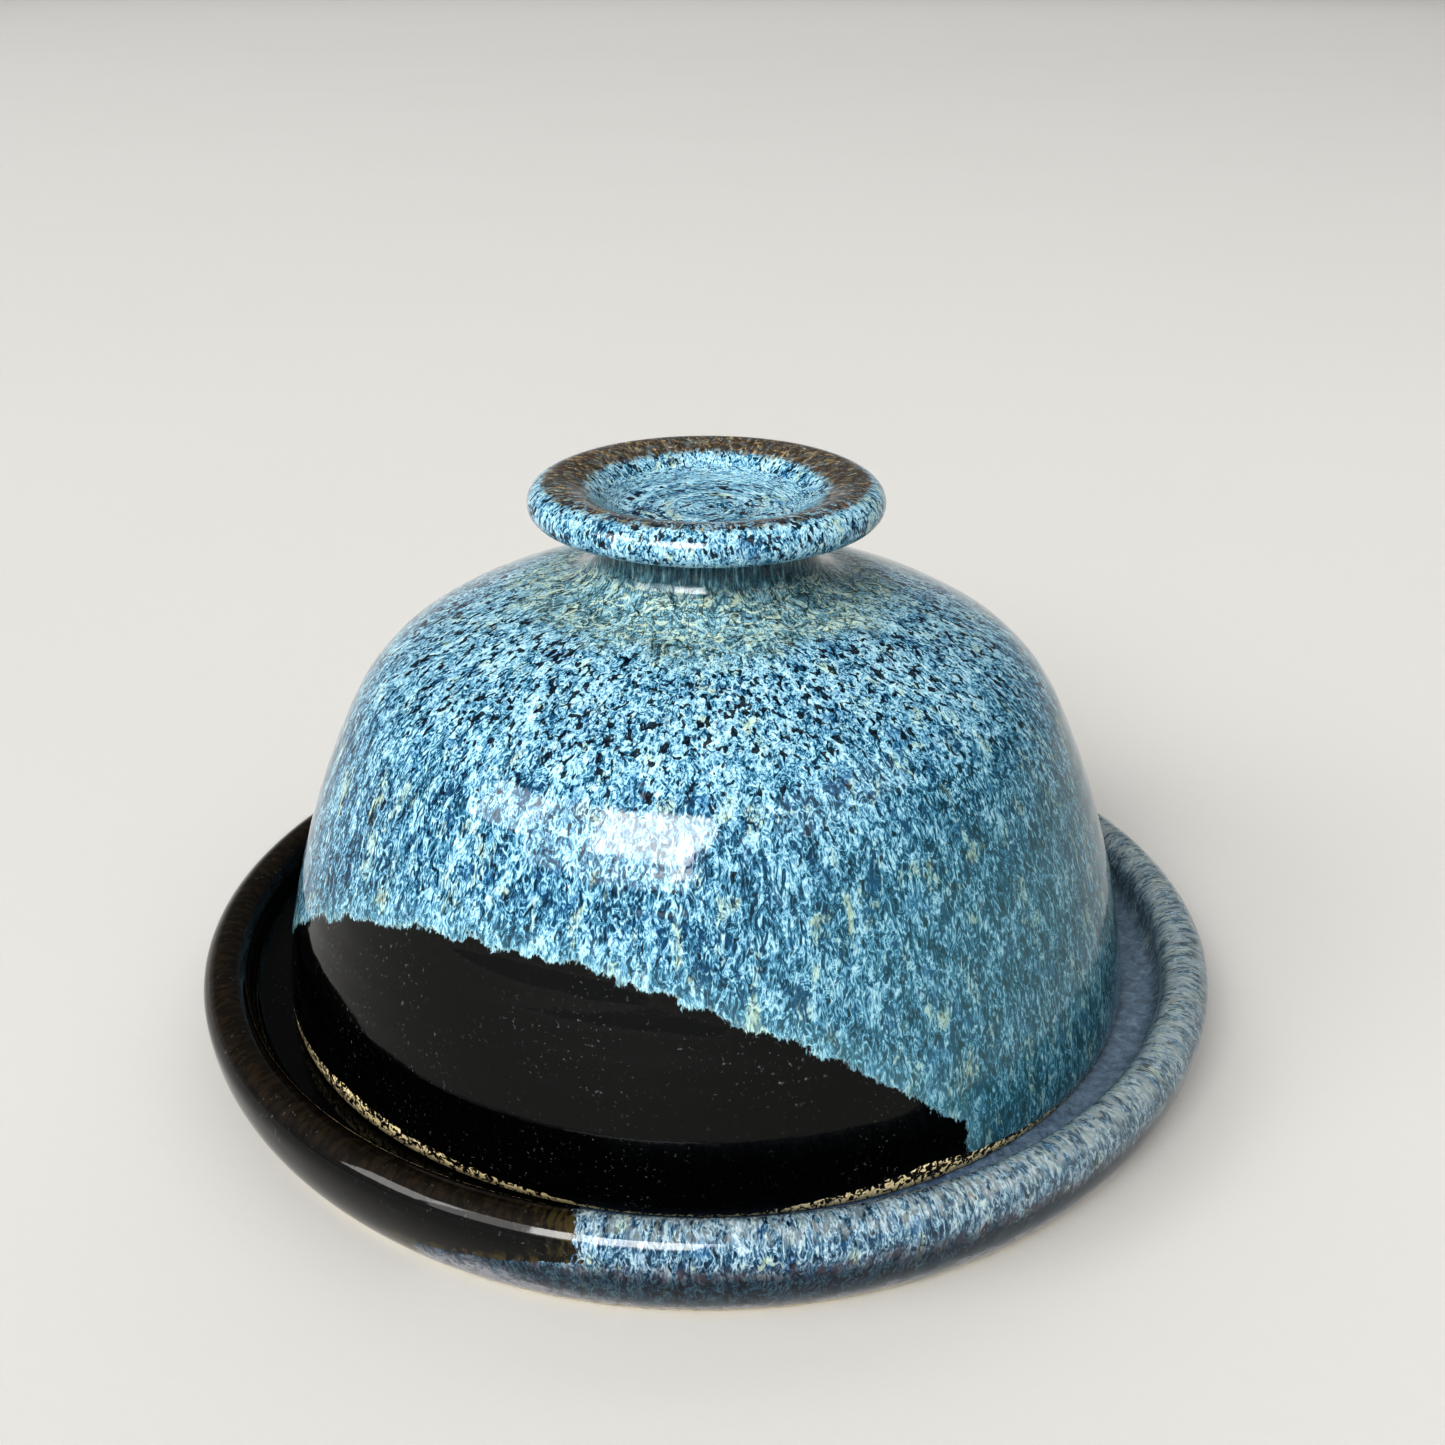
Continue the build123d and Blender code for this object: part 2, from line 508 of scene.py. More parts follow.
# Heights of the fine relief, which is in the shading.
BROAD_RIPPLE = 0.10 * MM
FINE_RIPPLE = 0.012 * MM
CURDLE = 0.030 * MM


def flow_place(glaze, middle, radial, upright):
    """Coordinates squeezed along the way a glaze runs, so that noise in them makes streaks.

    Around the radius middle, a step along the radius counts radial times, and a step in height
    upright times.
    """
    squeeze = middle * (1 - radial) / glaze.radius + radial
    return glaze.vector(glaze.x * squeeze, glaze.y * squeeze, glaze.z * upright)


def blue_tone(glaze, flow, wisps, spots, lift):
    """How pale the blue is, about 0 to 1: curled threads and hollows over a soft mottle."""
    cells = glaze.noise(flow, 1.9 * MM, detail=1, curl=2.0, shift=0.31)
    broad = glaze.noise(flow, 3.4 * MM, roughness=0.55, curl=1.2, shift=0.7)
    threads = glaze.ridge(cells, 0.43, 0.035) + glaze.ridge(cells, 0.555, 0.040)
    hollows = glaze.step(0.58, 0.66, cells) + glaze.step(0.42, 0.34, cells) * 0.7
    mottle = wisps * 1.35 + broad * 0.85
    return mottle + threads * 0.22 - hollows * 0.20 + spots * 0.12 + lift - 0.70


def blue_colour(glaze, flow, spots, lift, stops):
    """Floating blue: pale curled threads over mid blue, with dark gaps and cream clots.

    spots is 1 where small dark gaps are many, and 0 where they are few. lift makes it all paler.
    """
    wisps = glaze.noise(flow, 0.85 * MM, curl=1.7)
    colour = glaze.ramp(blue_tone(glaze, flow, wisps, spots, lift), stops)
    patches = glaze.noise(glaze.place, 5 * MM, roughness=0.6, curl=0.5, shift=0.7)
    colour = glaze.blend(glaze.step(0.56, 0.70, patches) * 0.35, colour, DEEP_BLUE)
    clots = glaze.noise(flow, 3.6 * MM, roughness=0.6, curl=0.6, shift=2.1) + (wisps - 0.5) * 0.5
    colour = glaze.blend(glaze.step(0.58, 0.76, clots) * 0.6, colour, CLOT_CREAM)
    rust = glaze.noise(flow, 3.2 * MM, roughness=0.6, curl=0.6, shift=3.7)
    colour = glaze.blend(glaze.step(0.69, 0.76, rust) * 0.5, colour, RUST_BROWN)
    crowd = (patches - 0.5) * 0.28
    pools = glaze.noise(flow, 2.4 * MM, roughness=0.6, curl=1.2, shift=5.3) + (0.5 - wisps) * 0.25
    colour = glaze.blend(glaze.step(0.585, 0.70, pools + crowd) * 0.85, colour, POOL_BLUE)
    dots = glaze.noise(flow, 1.2 * MM, detail=1, curl=0.6, shift=1.3)
    gaps = glaze.step(0.575, 0.625, dots + crowd * 0.6 + spots * 0.11 - 0.10)
    return glaze.blend(gaps * 0.93, colour, GAP_BLUE)


def black_colour(glaze):
    """Deep black with a dust of fine pale specks, which lie in drifts."""
    specks = glaze.noise(glaze.place, 0.75 * MM, roughness=0.6, shift=0.9)
    drifts = glaze.noise(glaze.place, 14 * MM, detail=3, roughness=0.6, shift=1.9)
    amount = glaze.step(0.42, 0.62, drifts) * 0.28 + 0.04
    return glaze.blend(glaze.step(0.62, 0.78, specks) * amount, BLACK, DUST_GREY)


def clay_colour(glaze, speck):
    """Bare tan stoneware, peppered with glaze specks. The higher speck, the more of them."""
    grain = glaze.noise(glaze.place, 0.5 * MM, detail=3, roughness=0.7)
    bare = glaze.ramp(grain, BARE_TANS)
    pepper = glaze.noise(glaze.place, 0.95 * MM, roughness=0.6, curl=0.8, shift=0.5) + speck
    return glaze.blend(glaze.step(0.5, 0.56, pepper), bare, PEPPER_BLACK)


def collar_colour(glaze, collar, blue):
    """Adds the curdled olive and cream ring round the foot of the neck, where collar is 1."""
    curls = glaze.ridge(glaze.noise(glaze.place, 5.4 * MM, curl=1.8, shift=11.3), 0.5, 0.05)
    seams = glaze.ridge(glaze.noise(glaze.place, 5.0 * MM, curl=1.8, shift=12.9), 0.5, 0.034)
    blue = glaze.blend(collar * 0.20, blue, COLLAR_OLIVE)
    blue = glaze.blend(collar * curls * 0.7, blue, COLLAR_CREAM)
    return glaze.blend(collar * seams * 0.9, blue, COLLAR_DARK)


def ripple_height(glaze):
    """Fine unevenness of a glassy surface, in metres."""
    broad = glaze.noise(glaze.place, 9 * MM, detail=1, shift=4.1)
    fine = glaze.noise(glaze.place, 1.8 * MM, shift=5.3)
    return broad * BROAD_RIPPLE + fine * FINE_RIPPLE


def curdle_height(glaze, flow):
    """The rougher skin of the blue glaze, which frays the edges of reflections, in metres."""
    return glaze.noise(flow, 1.5 * MM, roughness=0.55, curl=1.0, shift=0.31) * CURDLE


def plane_distance(glaze, normal, level):
    """Signed distance from a plane, as a field."""
    return (glaze.dot(glaze.place, normal) - level) / normal.length


# ---------------------------------------------------------------- dome

COVER_FLOW = (50 * MM, 0.75, 0.32)        # flow_place on the dome and the knob
DOME_ROUGHNESS = 0.07
LINER_ROUGHNESS = 0.12

# The crown has many dark gaps, and a curdled collar lies round the neck. Drifts make both ragged.
CROWN_HEIGHTS = (69 * MM, 83 * MM)
CROWN_DRIFT = 12 * MM
COLLAR_RADII = (39 * MM, 31 * MM)
COLLAR_DRIFT = 14 * MM
COLLAR_HEIGHTS = (70 * MM, 76 * MM)

# Lower down at +X, on the side away from the window, the blue is darkened by painted shade.
DOME_SHADE_X = (-15 * MM, 60 * MM)
DOME_SHADE_HEIGHTS = (88 * MM, 52 * MM)
DOME_PAINTED_SHADE = "4d7477"

# The dip line is fringed by fine fingers and slow waves. The blue is thicker beside it.
FINGER_REACH = 3.0 * MM
WAVE_REACH = 4 * MM
DOME_DIP_EDGE = (-0.25 * MM, 0.30 * MM)
THICK_ZONE = (7 * MM, 0.5 * MM)
THICK_BLUE = "7fa5a8"
FRINGE_ZONE = (0.7 * MM, 0.2 * MM)
FRINGE_BLUE = "a3c0c0"

# The bare clay of the lip is a thin ragged band, wider round two places, each (x, half width).
LIP_WIDE_PLACES = ((-62 * MM, 46 * MM), (38 * MM, 30 * MM))
LIP_WIDE = 3.4 * MM
LIP_NARROW = 0.9 * MM
LIP_RAGGED = 1.4 * MM
LIP_EDGE = (-0.12 * MM, 0.12 * MM)
LIP_SPECK_HEIGHTS = (0, 3 * MM)
LINER_START = (2.2 * MM, 2.6 * MM)        # height above the lip, inside


def dome_blue(glaze, flow, painted_side):
    """The blue of the dome, with its crown and collar, and painted shade lower down at +X."""
    drift = glaze.noise(glaze.place, 9 * MM) - 0.5
    crown = glaze.step(*CROWN_HEIGHTS, glaze.z + drift * CROWN_DRIFT)
    collar = glaze.step(*COLLAR_RADII, glaze.radius + drift * COLLAR_DRIFT)
    collar = collar * glaze.step(*COLLAR_HEIGHTS, glaze.z)
    blue = blue_colour(glaze, flow, crown - collar * 0.6, painted_side * -0.10, DOME_BLUES)
    blue = collar_colour(glaze, collar, blue)
    # painted shade: the blue is darkened lower down at +X, away from the window
    return glaze.blend(painted_side * 0.38, blue, DOME_PAINTED_SHADE)


def dome_dip_field(glaze, flow):
    """Signed distance from the dome's dip line with its fingers and waves, as a field."""
    slant = plane_distance(glaze, DIP_SLANT, DIP_LEVEL)
    upright = plane_distance(glaze, DIP_UPRIGHT, 0)
    fingers = glaze.noise(flow, 0.7 * MM, detail=3, roughness=0.65, curl=0.8, shift=6.2)
    waves = glaze.noise(glaze.place, 5 * MM, shift=7.4)
    wander = (fingers - 0.5) * FINGER_REACH + (waves - 0.5) * WAVE_REACH
    return glaze.math("MAXIMUM", slant, upright) + wander


def lip_glazed(glaze, above_lip):
    """1 where the lip's clay is glazed, and 0 where it is bare."""
    left, right = [glaze.ridge(glaze.x, *place) for place in LIP_WIDE_PLACES]
    ragged = glaze.noise(glaze.place, 1.6 * MM, roughness=0.6, shift=9.1)
    clay_top = (left + right) * LIP_WIDE + LIP_NARROW + (ragged - 0.5) * LIP_RAGGED
    return glaze.step(*LIP_EDGE, above_lip - clay_top)


def dome_glaze():
    glaze = Glaze("dome_outside_glaze")
    flow = flow_place(glaze, *COVER_FLOW)
    # 1 lower down at +X, where shade is painted on the dome
    painted_side = glaze.step(*DOME_SHADE_X, glaze.x) * glaze.step(*DOME_SHADE_HEIGHTS, glaze.z)
    blue = dome_blue(glaze, flow, painted_side)

    dipped = dome_dip_field(glaze, flow)
    in_blue = glaze.step(*DOME_DIP_EDGE, dipped)
    blue = glaze.blend(glaze.step(*THICK_ZONE, dipped) * 0.12, blue, THICK_BLUE)
    fringe = glaze.step(*FRINGE_ZONE, dipped) * (0.35 - painted_side * 0.30)
    blue = glaze.blend(fringe, blue, FRINGE_BLUE)
    colour = glaze.blend(in_blue, black_colour(glaze), blue)

    above_lip = glaze.z - LIP_HEIGHT
    glazed = lip_glazed(glaze, above_lip)
    clay = clay_colour(glaze, glaze.step(*LIP_SPECK_HEIGHTS, above_lip) * 0.12 - 0.05)
    colour = glaze.blend(glazed, clay, colour)
    roughness = CLAY_ROUGHNESS - glazed * (CLAY_ROUGHNESS - DOME_ROUGHNESS)
    height = ripple_height(glaze) + in_blue * curdle_height(glaze, flow)
    return glaze.finish(colour, roughness, height, IOR=GLAZE_IOR)


def liner_glaze():
    """Inside of the dome: black down to a bare lip."""
    glaze = Glaze("dome_inside_glaze")
    glazed = glaze.step(*LINER_START, glaze.z - LIP_HEIGHT)
    colour = glaze.blend(glazed, clay_colour(glaze, 0.0), black_colour(glaze))
    roughness = CLAY_ROUGHNESS - glazed * (CLAY_ROUGHNESS - LINER_ROUGHNESS)
    return glaze.finish(colour, roughness, ripple_height(glaze), IOR=GLAZE_IOR)


# ---------------------------------------------------------------- knob

KNOB_ROUGHNESS = 0.09

# Zones of the knob. Above the neck, the glaze is drawn out less. The under side of the rolled
# edge is darkened by painted shade.
NECK_TOP = 97 * MM
NECK_FOOT_HEIGHTS = (93.5 * MM, 96.5 * MM)
NECK_HEAD_HEIGHTS = (103 * MM, 100 * MM)
HEAD_HEIGHTS = (96 * MM, 102 * MM)
SAUCER_TOP_HEIGHTS = (100 * MM, 102 * MM)
UNDER_SHADE_HEIGHTS = (103 * MM, 100.5 * MM)
UNDER_SHADE_RADII = (27 * MM, 30 * MM)

# Dark runs of pooled glaze up the neck; their darks also hold painted shade beneath the saucer.
NECK_RUNS_AND_SHADE = [(0.35, "082532"), (0.50, "214d5c"), (0.62, "557f89"), (0.75, "98b8b9")]

# The crest of the rolled edge is brown, more so towards the back.
CREST_OUTER_RADII = (31 * MM, 29.6 * MM)
CREST_INNER_RADII = (21.5 * MM, 23.5 * MM)
CREST_RAGGED = 4 * MM
CREST_BROWNS = [
    (0.36, "0c080b"), (0.46, "241c20"), (0.55, "473b33"), (0.62, "75664a"), (0.72, "aa9a70"),
]
CREST_BACK_Y = (-28 * MM, 4 * MM)
CREST_BACK_BROWN = "7a6434"


def knob_flow(glaze, flow):
    """Flow coordinates of the knob: they run up the neck, and swirl in the dish."""
    above_neck = glaze.math("MAXIMUM", glaze.z - NECK_TOP, 0.0)
    lifted = {0: flow, 1: glaze.vector(0.0, 0.0, above_neck * 0.3)}
    flow = glaze.node("VectorMath", lifted).outputs[0]
    in_dish = glaze.step(*DISH_RADII, glaze.radius) * glaze.step(*SAUCER_TOP_HEIGHTS, glaze.z)
    swirl = glaze.vector(glaze.x * 0.5, glaze.y * 0.5, glaze.radius * 0.9)
    first_input, second_input, output = MIX_VECTORS
    mixed = {0: in_dish, first_input: flow, second_input: swirl}
    place = glaze.node("Mix", mixed, data_type="VECTOR").outputs[output]
    return flow, place


def knob_blue(glaze, place):
    """The blue of the knob, curdled at the foot of its neck and running in streaks up it, darkened
    by painted shade on the neck and beneath the rolled edge.
    """
    head = glaze.step(*HEAD_HEIGHTS, glaze.z)
    # painted shade beneath the rolled edge
    painted_under_shade = glaze.step(*UNDER_SHADE_HEIGHTS, glaze.z) * glaze.step(*UNDER_SHADE_RADII, glaze.radius)
    blue = blue_colour(glaze, place, head * 0.35 + 0.4, head * 0.05 - painted_under_shade * 0.14, DOME_BLUES)
    blue = collar_colour(glaze, 1 - head, blue)
    neck = glaze.step(*NECK_FOOT_HEIGHTS, glaze.z) * glaze.step(*NECK_HEAD_HEIGHTS, glaze.z)
    drawn_out = glaze.vector(glaze.x, glaze.y, glaze.z * 0.12)
    runs = glaze.noise(drawn_out, 0.8 * MM, roughness=0.6, curl=0.4, shift=14.1)
    # the dark neck runs are pooled glaze and painted shade beneath the saucer
    return glaze.blend(neck * 0.85, blue, glaze.ramp(runs, NECK_RUNS_AND_SHADE))


def crest_brown(glaze, flow, blue):
    """Adds the brown crest of the rolled edge, in blots that close up towards the back."""
    ragged = (glaze.noise(flow, 1.6 * MM, roughness=0.6) - 0.5) * CREST_RAGGED
    crest = glaze.step(*CREST_OUTER_RADII, glaze.radius + ragged * 0.6)
    crest = crest * glaze.step(*CREST_INNER_RADII, glaze.radius + ragged)
    crest = crest * glaze.step(*SAUCER_TOP_HEIGHTS, glaze.z)
    grain = glaze.noise(flow, 1.3 * MM, detail=3, roughness=0.6, curl=0.9, shift=3.3)
    to_back = glaze.step(*CREST_BACK_Y, glaze.y)
    brown = glaze.blend(to_back * 0.15, glaze.ramp(grain, CREST_BROWNS), CREST_BACK_BROWN)
    blots = glaze.noise(flow, 1.9 * MM, roughness=0.6, curl=0.9, shift=4.4)
    cover = to_back * 0.65 + glaze.step(0.44, 0.52, blots) * 0.70 + 0.16
    return glaze.blend(crest * glaze.math("MINIMUM", cover, 0.95), blue, brown)


def knob_glaze():
    glaze = Glaze("knob_glaze")
    flow, place = knob_flow(glaze, flow_place(glaze, *COVER_FLOW))
    colour = crest_brown(glaze, flow, knob_blue(glaze, place))
    height = ripple_height(glaze) + curdle_height(glaze, place)
    return glaze.finish(colour, KNOB_ROUGHNESS, height, IOR=GLAZE_IOR)


# ---------------------------------------------------------------- plate

PLATE_FLOW = (96 * MM, 0.4, 0.4)          # flow_place on the plate
PLATE_ROUGHNESS = 0.07
FOOT_ROUGHNESS = 0.8
PLATE_DRIFT = 3 * MM                      # how far a drift noise moves the edge of a zone
FOOT_GRIT_HEIGHT = 0.08 * MM

# The floor inside the rim is a calmer blue.
CALM_HEIGHTS = (13 * MM, 10.5 * MM)
CALM_RADII = (94 * MM, 90 * MM)
CALM_RADIUS_DRIFT = 5 * MM
CALM_BLUES = [(0.30, "293a4e"), (0.45, "465a74"), (0.57, "5f748c"), (0.72, "8696a4")]

# The blue is paler on the crest of the rim, where it is thin. Towards +X a grey reflection and shade
# are painted over it, more strongly on the crest.
RIM_CREST_HEIGHTS = (RIM_TOP - 2.6 * MM, RIM_TOP - 0.4 * MM)
RIM_CREST_DRIFT = 1.5 * MM
RIM_CREST_GREY = "a9ada6"
PLATE_PAINTED_SIDE_X = (10 * MM, 80 * MM)
PLATE_PAINTED_REFLECTION = "6a7172"

# On the outer wall the blue is darkened by painted shade. Grey speckling climbs from its foot,
# higher towards +X and round LAP, partly glaze and partly a painted reflection of the floor, and a
# worn brown line runs where the wall turns into the rim. LAP is (x, half width), and WORN_LINE
# (height, half width).
WALL_HEIGHTS = (14.5 * MM, 11 * MM)
WALL_RADII = (93 * MM, 95 * MM)
WALL_PAINTED_SHADE = "5f7883"
WALL_FOOT_HEIGHTS = (5.5 * MM, 2 * MM)
WALL_FOOT_DRIFT = 4 * MM
LAP = (-36 * MM, 24 * MM)
SPECKLE_AND_REFLECTION_GREY = "7d7e85"
WORN_LINE = (12.8 * MM, 2.4 * MM)
WORN_RADII = (94 * MM, 96 * MM)
WORN_DRIFT = 4 * MM
WORN_BROWN = "4a3f44"

# Where the black is sparse it is brown on the crest, lightened there into a painted sheen, and olive
# beside the dip line.
THIN_BROWN_AND_SHEEN = "2b2216"
OLIVE = "42391f"
NEAR_DIP = (-9 * MM, -1 * MM)
NEAR_DIP_RADII = (SKIRT_RADIUS, 95 * MM)
PLATE_FINGER_REACH = 8 * MM
PLATE_DIP_EDGE = (-0.5 * MM, 0.5 * MM)


def plate_dip_field(glaze, flow):
    """Signed distance from the plate's dip line with its fingers, as a field."""
    dipped = plane_distance(glaze, PLATE_DIP, PLATE_DIP_PLACE)
    skirt = glaze.math("MAXIMUM", SKIRT_TOP - glaze.z, 0.0) * SKIRT_SLOPE
    skirt = glaze.math("MINIMUM", skirt, SKIRT_MOST)
    skirt = skirt * glaze.math("GREATER_THAN", glaze.radius, SKIRT_RADIUS)
    fingers = glaze.noise(flow, 1.0 * MM, detail=3, roughness=0.65, curl=0.8, shift=6.2)
    return dipped + skirt + (fingers - 0.5) * PLATE_FINGER_REACH


def outer_wall_blue(glaze, drift, mottle, streaks, painted_side, blue):
    """Adds the painted shade, the grey speckling at the foot with its painted reflection, and the
    worn line of the outer wall.
    """
    on_wall = glaze.step(*WALL_HEIGHTS, glaze.z + drift * PLATE_DRIFT)
    on_wall = on_wall * glaze.step(*WALL_RADII, glaze.radius)
    # painted shade on the outer wall, which faces down
    blue = glaze.blend(on_wall, blue, WALL_PAINTED_SHADE, "MULTIPLY")
    lap = glaze.ridge(glaze.x, *LAP)
    foot = glaze.z + (drift - painted_side - lap * 1.3) * WALL_FOOT_DRIFT
    # grey speckling at the foot, partly glaze mottle and partly a painted reflection of the floor
    speckle_and_reflection = glaze.step(0.40, 0.56, mottle) * 0.65 + 0.25
    low = glaze.step(*WALL_FOOT_HEIGHTS, foot)
    blue = glaze.blend(low * on_wall * speckle_and_reflection, blue, SPECKLE_AND_REFLECTION_GREY)
    worn = glaze.ridge(glaze.z + drift * WORN_DRIFT, *WORN_LINE)
    worn = worn * glaze.step(*WORN_RADII, glaze.radius) * glaze.step(0.38, 0.58, streaks)
    return glaze.blend(worn * 0.65, blue, WORN_BROWN)


def plate_blue(glaze, flow, drift, streaks, crest):
    """The blue of the plate: calm on the floor, pale on the rim's crest, painted shade on the wall,
    and a painted grey reflection towards +X.
    """
    blue = blue_colour(glaze, flow, 0.0, 0.0, PLATE_BLUES)
    on_floor = glaze.step(*CALM_HEIGHTS, glaze.z + drift * PLATE_DRIFT)
    on_floor = on_floor * glaze.step(*CALM_RADII, glaze.radius + drift * CALM_RADIUS_DRIFT)
    mottle = glaze.noise(glaze.place, 2.2 * MM, detail=4, roughness=0.65, curl=0.8, shift=6.6)
    blue = glaze.blend(on_floor * 0.85, blue, glaze.ramp(mottle, CALM_BLUES))
    pale = glaze.step(0.40, 0.56, streaks)
    # 1 towards +X, where a grey reflection and shade are painted on the plate
    painted_side = glaze.step(*PLATE_PAINTED_SIDE_X, glaze.x)
    # the crest is paler where thin, and greyer towards +X as painted reflection
    blue = glaze.blend(crest * pale * (painted_side * 0.25 + 0.30), blue, RIM_CREST_GREY)
    # painted grey reflection and shade towards +X
    blue = glaze.blend(painted_side * 0.45, blue, PLATE_PAINTED_REFLECTION)
    return outer_wall_blue(glaze, drift, mottle, streaks, painted_side, blue)


def plate_black(glaze, edge, streaks, crest):
    """The black of the plate: brown on the crest, where the glaze is sparse, with a painted sheen
    there, and olive beside the dip line.
    """
    thin_and_sheen = crest * (glaze.step(0.42, 0.62, streaks) * 0.6 + 0.4)
    # brown of sparse glaze on the crest, partly a painted sheen
    black = glaze.blend(thin_and_sheen * 0.7, black_colour(glaze), THIN_BROWN_AND_SHEEN)
    near = glaze.step(*NEAR_DIP, edge) * glaze.step(*NEAR_DIP_RADII, glaze.radius)
    return glaze.blend(near * glaze.step(0.40, 0.62, streaks) * 0.7, black, OLIVE)


def plate_glaze():
    glaze = Glaze("plate_glaze")
    flow = flow_place(glaze, *PLATE_FLOW)
    drift = glaze.noise(glaze.place, 4 * MM, roughness=0.6, shift=2.2) - 0.5
    streaks = glaze.noise(flow, 1.3 * MM, roughness=0.6, curl=0.3, shift=8.1)
    crest = glaze.step(*RIM_CREST_HEIGHTS, glaze.z + drift * RIM_CREST_DRIFT)
    edge = plate_dip_field(glaze, flow)
    in_blue = glaze.step(*PLATE_DIP_EDGE, edge)
    black = plate_black(glaze, edge, streaks, crest)
    colour = glaze.blend(in_blue, black, plate_blue(glaze, flow, drift, streaks, crest))
    height = ripple_height(glaze) + in_blue * curdle_height(glaze, flow)
    return glaze.finish(colour, PLATE_ROUGHNESS, height, IOR=GLAZE_IOR)


def foot_clay():
    glaze = Glaze("foot_clay")
    grit = glaze.noise(glaze.place, 0.6 * MM, detail=3, roughness=0.7, shift=2.0)
    return glaze.finish(clay_colour(glaze, -0.08), FOOT_ROUGHNESS, grit * FOOT_GRIT_HEIGHT)


# ---------------------------------------------------------------- pieces

UNDERSIDE_FACES_DOWN = -0.75              # most upward part of a normal under the plate


def dome_slot(normal):
    """0 outside, and 1 inside, where the liner is."""
    return 1 if normal[0] + normal[1] < 0 else 0


def plate_slot(normal):
    """1 underneath, where the clay is bare, and 0 elsewhere."""
    return 1 if normal[1] < UNDERSIDE_FACES_DOWN else 0


def knob_slot(normal):
    """Glazed all over."""
    return 0


def build_piece(node, body, mesh, relief, slot_of, materials):
    """Makes the piece that stands for a CAD node, with its materials in slot order."""
    piece = lathe(node, *mesh, relief, slot_of)
    for material in materials:
        piece.data.materials.append(material)
    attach(piece, body)
    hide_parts(node)


def build_pieces():
    dome_materials = [dome_glaze(), liner_glaze()]
    build_piece("dome", "cover", DOME_MESH, dome_relief, dome_slot, dome_materials)
    build_piece("knob", "cover", KNOB_MESH, knob_relief, knob_slot, [knob_glaze()])
    plate_materials = [plate_glaze(), foot_clay()]
    build_piece("plate", "plate", PLATE_MESH, plate_relief, plate_slot, plate_materials)


# ---------------------------------------------------------------- studio

FLOOR_RADIUS = 14
FLOOR_TONES = ("b3b1ad", "aaa8a3")
FLOOR_ROUGHNESS = 0.85
FLOOR_GRAIN_HEIGHT = 0.05 * MM

MIDDLE = Vector((0, 0, 0.06))             # the point that the lights over the object face

# Lights over the object: name, (azimuth, elevation, distance), (width, height) and radiance.
LIGHTS = [
    ("window", (-150, 34, 12), (10.6, 6.7), 2.9),
    ("pane", (-161.5, 37, 11.5), (6.0, 5.6), 9.8),
    ("side_window", (-112, 32, 12), (4.0, 4.6), 5.0),
    ("card", (125, 50, 1.6), (1.3, 0.6), 1.0),
]

# A light over the far floor keeps its tone even.
FILL_PLACE = Vector((0, 8.5, 7))
FILL_TARGET = Vector((0, 8.5, 0))
FILL_SIZE = (16, 9)
FILL_RADIANCE = 1.0

# The room is bright towards the window, dim on the far side, and never under the haze's level at
# the horizon.
WINDOW_WAY = Vector((-0.35, -0.80, 0.45))
WINDOW_FADE = (-0.1, 1.0)                 # cosine of the angle from the window
ROOM_DIM = 0.14
ROOM_BRIGHT = 0.65
HAZE_FADE = (0.45, 0.0)                   # sine of the height over the horizon
HAZE_BRIGHT = 0.44
ROOM_COLOUR = (0.95, 0.97, 1.0, 1)

CAMERA_PLACE = (0.0031, -0.2944, 0.1959)
CAMERA_DOWN = 24.75                       # degrees under level
CAMERA_ROLL = 0.0047                      # radians
CAMERA_LENS = 41.1                        # millimetres
CAMERA_SENSOR = 36                        # millimetres
CAMERA_REACH = (0.01, 50)


def build_floor():
    bpy.ops.mesh.primitive_circle_add(vertices=96, radius=FLOOR_RADIUS, fill_type="NGON")
    floor = bpy.context.object
    floor.name = "studio_floor"
    glaze = Glaze("pale_floor")
    colour = glaze.blend(glaze.noise(glaze.place, 0.3) * 0.3, *FLOOR_TONES)
    grain = glaze.noise(glaze.place, 0.004) * FLOOR_GRAIN_HEIGHT
    floor.data.materials.append(glaze.finish(colour, FLOOR_ROUGHNESS, grain))


def away(azimuth, elevation, distance):
    """The point that far from the middle of the object. Azimuth 0 is at +Y, and 90 at +X."""
    a, e = math.radians(azimuth), math.radians(elevation)
    way = Vector((math.sin(a) * math.cos(e), math.cos(a) * math.cos(e), math.sin(e)))
    return MIDDLE + way * distance


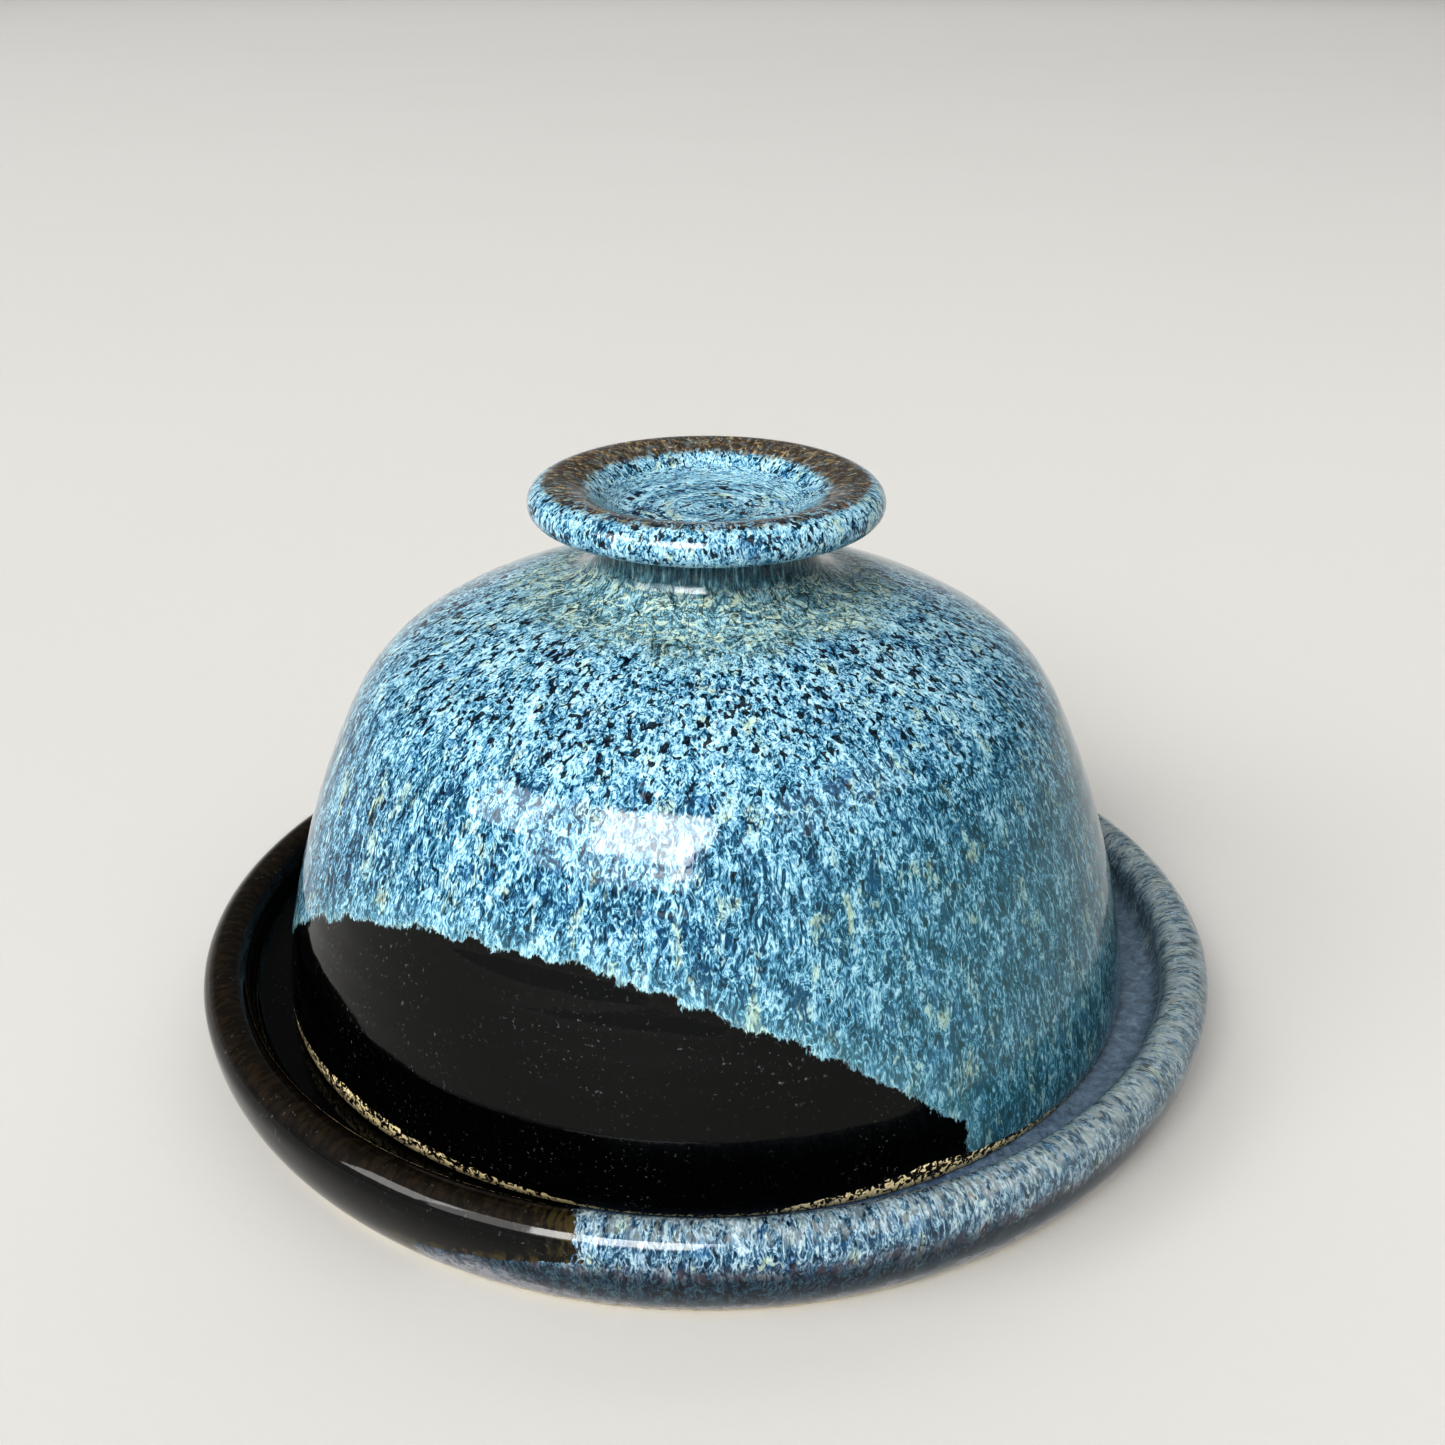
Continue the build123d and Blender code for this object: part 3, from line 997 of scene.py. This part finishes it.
def area_light(name, place, target, size, radiance, mirrored=True):
    """Soft rectangular light at place that faces target. mirrored: glossy surfaces show it."""
    data = bpy.data.lights.new(name, "AREA")
    data.shape = "RECTANGLE"
    data.size, data.size_y = size
    data.energy = radiance * math.pi * size[0] * size[1]
    light = bpy.data.objects.new(name, data)
    light.location = place
    light.rotation_euler = (place - target).to_track_quat("Z", "Y").to_euler()
    light.visible_camera = False
    light.visible_glossy = mirrored
    bpy.context.scene.collection.objects.link(light)


def build_lights():
    for name, where, size, radiance in LIGHTS:
        area_light(name, away(*where), MIDDLE, size, radiance)
    area_light("floor_fill", FILL_PLACE, FILL_TARGET, FILL_SIZE, FILL_RADIANCE, mirrored=False)


def build_world():
    """Soft light from all round."""
    world = bpy.data.worlds.new("studio")
    sky = Shader(world)
    way = sky.node("TexCoord", {}).outputs["Generated"]
    towards_window = sky.dot(way, WINDOW_WAY.normalized())
    room = sky.step(*WINDOW_FADE, towards_window, ROOM_DIM, ROOM_BRIGHT)
    height = sky.math("ABSOLUTE", sky.split(way)[2])
    haze = sky.step(*HAZE_FADE, height, 0.0, HAZE_BRIGHT)
    strength = sky.math("MAXIMUM", room, haze)
    background = sky.node("Background", {"Color": ROOM_COLOUR, "Strength": strength})
    sky.node("OutputWorld", {"Surface": background.outputs[0]})
    bpy.context.scene.world = world


def build_camera():
    data = bpy.data.cameras.new("camera")
    data.sensor_width = CAMERA_SENSOR
    data.lens = CAMERA_LENS
    data.clip_start, data.clip_end = CAMERA_REACH
    camera = bpy.data.objects.new("camera", data)
    tilt = Matrix.Rotation(math.radians(90 - CAMERA_DOWN), 4, "X")
    roll = Matrix.Rotation(CAMERA_ROLL, 4, "Z")
    camera.matrix_world = Matrix.Translation(CAMERA_PLACE) @ tilt @ roll
    bpy.context.scene.collection.objects.link(camera)
    bpy.context.scene.camera = camera


def set_view():
    """The strong contrast keeps the blues deep."""
    view = bpy.context.scene.view_settings
    view.view_transform = "Standard"
    view.look = "High Contrast"


build_camera()
build_pieces()
build_floor()
build_lights()
build_world()
set_view()
